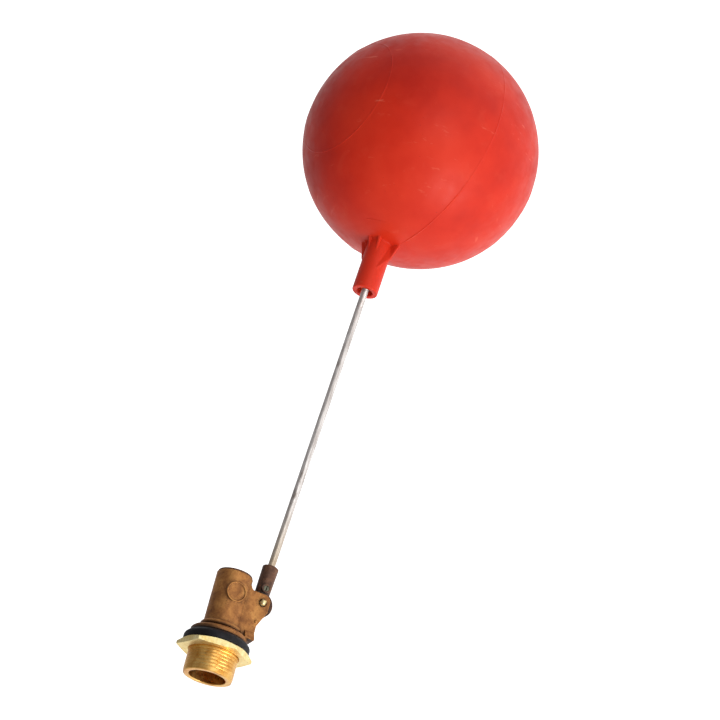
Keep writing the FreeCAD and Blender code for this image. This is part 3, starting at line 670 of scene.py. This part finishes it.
FIRST_OUTSIDE_ROW = 14
WEB_HALF = mm(0.8)
RIB_LENGTH, RIB_REACH = mm(9.5, 11.8)
FIN_LENGTH, FIN_REACH = mm(22.5, 15.5)
FIN_WIND = math.radians(40)


def sphere_x(y, z):
    """Where the ball's near side lies, along the arm, for a point across it."""
    inside = BALL_RADIUS ** 2 - y ** 2 - (z + BALL_SAG) ** 2
    return BALL_AT - np.sqrt(inside)


def neck_rings(columns):
    """Rings of the neck's skin, from the floor of its bore over lip and root to a skirt on the ball."""
    angles = np.arange(columns) * TURN / columns
    side = np.stack([np.cos(angles), np.sin(angles)], axis=1)

    def ring(x, radius):
        column = np.broadcast_to(np.reshape(x, (-1, 1)), (columns, 1))
        return np.concatenate([column, side * radius], axis=1)

    bore_depth, fillet, skirt_radius, plug_radius = mm(28, 1.3, 26, 4.0)
    floor = NECK_START + bore_depth
    lip = rounded([(floor, NECK_BORE), (NECK_START, NECK_BORE, mm(0.7)),
                   (NECK_START, NECK_RADIUS, mm(0.9)), (NECK_START + mm(12), NECK_RADIUS)],
                  mm(0.5), steps=6, closed=False)
    rings = [ring(x, NECK_BORE) for x in np.linspace(floor, NECK_START + mm(1.5), 8)]
    rings += [ring(x, radius) for x, radius in lip[1:-1]]
    knee = NECK_RADIUS + fillet
    root = sphere_x(*(side * NECK_RADIUS).T)
    knee_x = sphere_x(*(side * knee).T)
    tube_start, tube_end = NECK_START + mm(1.6), root - fillet * 0.9
    rings += [ring(tube_start + (tube_end - tube_start) * share, NECK_RADIUS)
              for share in np.linspace(0, 1, 60)]
    for share in np.linspace(0, 1, 12)[1:]:
        start, middle, end = (1 - share) ** 2, 2 * share * (1 - share), share ** 2
        rings.append(ring(tube_end * start + root * middle + knee_x * end,
                          NECK_RADIUS * (start + middle) + knee * end))
    for share in np.linspace(0, 1, 44)[1:]:
        radius = knee + (skirt_radius - knee) * share
        sink = mm(0.25) * smoothstep(0.55, 1.0, share) - mm(0.03)
        rings.append(ring(sphere_x(*(side * radius).T) + sink, radius))
    return angles, np.array(rings), ring(BALL_AT - BALL_RADIUS * 0.86, plug_radius)


def raise_web(rows, angles, start, finish, half, length, reach):
    """Lifts the skin to a web's sloping top edge between neck and ball, winding from start to finish.

    The web starts a length before the ball's skin and stands out to the reach at the ball.
    """
    outer_blend, inner_blend, sag = mm(0.3, 0.2, 1.6)
    top = np.array([math.cos(finish), math.sin(finish)])
    foot = float(sphere_x(NECK_RADIUS * top[0], NECK_RADIUS * top[1])) - length
    end = float(sphere_x(reach * top[0], reach * top[1]))
    for row in rows[FIRST_OUTSIDE_ROW:]:
        radius = np.hypot(row[:, 1], row[:, 2])
        along = np.clip((row[:, 0] - foot) / (end - foot), 0, 1.05)
        turn = (angles - start - (finish - start) * along + math.pi) % TURN - math.pi
        across = radius * np.sin(turn)
        facing = np.cos(turn) > 0
        inside = smoothstep(half + outer_blend, half - inner_blend, np.abs(across)) * facing
        out = np.clip((radius - NECK_RADIUS) / (reach - NECK_RADIUS), 0, 1.05)
        share = np.clip((along + out) / 2, 0, 1)
        target_radius = NECK_RADIUS + (reach - NECK_RADIUS) * share
        target_x = foot + (end - foot) * share
        dip = sag * share * (1 - share)
        lift = inside * (row[:, 0] > foot) * (radius < reach) * (radius > NECK_RADIUS * 0.98)
        row[:, 0] += lift * (target_x - row[:, 0])
        row[:, 1:] *= (1 + lift * (target_radius - dip - radius) / radius)[:, None]


def make_neck():
    """Neck tube, root fillet, six short ribs and two fins that wind across the parting plane."""
    angles, rows, inside = neck_rings(480)
    for half_turn in (0, math.pi):
        for eighth in (1, 2, 3):
            at = PARTING_TILT + half_turn + TURN * eighth / 8
            raise_web(rows, angles, at, at, WEB_HALF, RIB_LENGTH, RIB_REACH)
        raise_web(rows, angles, half_turn, half_turn + FIN_WIND, WEB_HALF, FIN_LENGTH, FIN_REACH)
    piece = outward(skin("float_neck", np.concatenate([rows, inside[None]])))
    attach(dress(on_arm(piece), RED), "float_arm")


make_ball()
make_neck()


# ---------------------------------------------------------------- CAD nodes that stay
def keep(node, material, width):
    """Dresses a CAD node and rounds its edges by a width in millimetres."""
    soften_edges(node, mm(width))
    dress(nodes[node], material)


keep("backnut", YELLOW, 0.25)
keep("inlet_seat", GOLDEN, 0.15)
keep("seat_gasket", FIBRE, 0.08)
# The cap takes the dark bronze so that the barrel's end shows a thin dark line: partly its own colour,
# partly painted shade.
keep("cylinder_cap", DARK, 0.15)
keep("rod_set_screw", GREENISH, 0.12)
keep("neck_insert", GOLDEN, 0.15)
keep("piston", GOLDEN, 0.2)
keep("disc_retainer", GOLDEN, 0.15)
keep("seat_disc", RUBBER, 0.15)


# ---------------------------------------------------------------- studio
AIM = Vector((FLANGE_FACE + mm(226.8), 0.0, mm(-45.4)))
CAMERA_DISTANCE = mm(1894.6)
CAMERA_AZIMUTH = math.radians(26.33)
CAMERA_ELEVATION = math.radians(17.21)
CAMERA_ROLL = math.radians(-66.77)
SENSOR_WIDTH = 36.0
LENS = 136.9
FLOOR_DROP = 0.62


def make_camera():
    """A long lens from the tail's side and above, rolled so that the float is at the top."""
    camera = add_object("camera", bpy.data.cameras.new("camera"))
    camera.data.sensor_width = SENSOR_WIDTH
    camera.data.lens = LENS
    camera.data.clip_end = 50.0
    flat = math.cos(CAMERA_ELEVATION)
    ahead = Vector((math.sin(CAMERA_AZIMUTH) * flat, math.cos(CAMERA_AZIMUTH) * flat,
                    -math.sin(CAMERA_ELEVATION)))
    level = ahead.cross(Vector((0, 0, 1))).normalized()
    upright = level.cross(ahead)
    right = level * math.cos(CAMERA_ROLL) + upright * math.sin(CAMERA_ROLL)
    up = right.cross(ahead)
    camera.matrix_world = Matrix.Translation(AIM - ahead * CAMERA_DISTANCE) @ Matrix(
        (right, up, -ahead)).transposed().to_4x4()
    bpy.context.scene.camera = camera
    return right, up, -ahead


def soft_light(name, direction, distance, size, power):
    """A square white area light that looks at the object from a direction."""
    data = bpy.data.lights.new(name, "AREA")
    data.shape = "SQUARE"
    data.size = size
    data.energy = power
    lamp = add_object(name, data)
    lamp.location = AIM + direction.normalized() * distance
    lamp.rotation_mode = "QUATERNION"
    lamp.rotation_quaternion = direction.to_track_quat("Z", "Y")
    lamp.visible_camera = False


def make_floor():
    """A plain pale lit table well below the float, so that no shadow of it is in the picture."""
    columns, hole, reach, slab = 96, 0.5, 14.0, 0.05
    glow, extra_when_seen = 0.70, 0.30
    angles = np.arange(columns) * TURN / columns
    height = BALL_LOW.z - FLOOR_DROP
    rows = [np.stack([AIM.x + radius * np.cos(angles), radius * np.sin(angles),
                      np.full(columns, height - thick)], axis=1)
            for radius, thick in ((hole, 0.0), (reach, 0.0), (reach, slab), (hole, slab))]
    floor = outward(skin("floor", rows))
    floor.data.polygons.foreach_set("use_smooth", [False] * len(floor.data.polygons))
    paint = Paint("pale_table", Roughness=0.7)
    shade = paint.ramp(paint.noise(900, 3.0), (0.3, (0.93, 0.93, 0.93)), (0.7, (0.96, 0.96, 0.96)))
    paint.set("Base Color", shade)
    paint.set("Emission Color", (1.0, 1.0, 1.0))
    seen = paint.node("LightPath").outputs["Is Camera Ray"]
    paint.set("Emission Strength", paint.math("MULTIPLY_ADD", seen, extra_when_seen, glow))
    floor.data.materials.append(paint.material)


def make_world():
    """White behind the object; softer grey with a dark top for what the metal reflects."""
    world = bpy.data.worlds.new("studio")
    bpy.context.scene.world = world
    world.use_nodes = True
    tree = world.node_tree
    sky = tree.nodes["Background"]
    height = tree.nodes.new("ShaderNodeSeparateXYZ")
    where = tree.nodes.new("ShaderNodeTexCoord")
    ramp = tree.nodes.new("ShaderNodeValToRGB")
    tree.links.new(where.outputs["Generated"], height.inputs[0])
    tree.links.new(height.outputs["Z"], ramp.inputs["Fac"])
    ramp.color_ramp.elements[0].color = (0.85, 0.85, 0.85, 1)
    ramp.color_ramp.elements[1].position = 0.75
    ramp.color_ramp.elements[1].color = (0.30, 0.30, 0.31, 1)
    tree.links.new(ramp.outputs["Color"], sky.inputs["Color"])
    white = tree.nodes.new("ShaderNodeBackground")
    white.inputs["Color"].default_value = (1, 1, 1, 1)
    switch = tree.nodes.new("ShaderNodeMixShader")
    path = tree.nodes.new("ShaderNodeLightPath")
    tree.links.new(path.outputs["Is Camera Ray"], switch.inputs[0])
    tree.links.new(sky.outputs[0], switch.inputs[1])
    tree.links.new(white.outputs[0], switch.inputs[2])
    tree.links.new(switch.outputs[0], tree.nodes["World Output"].inputs["Surface"])


picture_right, picture_up, to_camera = make_camera()
soft_light("key", picture_right * 0.55 - picture_up * 0.62 + to_camera * 0.75, 1.2, 0.42, 5.6)
soft_light("fill", to_camera + picture_up * 0.5 + picture_right * 0.4, 1.6, 0.9, 3.6)
soft_light("edge", picture_right + to_camera * 0.1, 1.1, 0.6, 2.4)
make_floor()
make_world()
bpy.context.scene.view_settings.view_transform = "Standard"
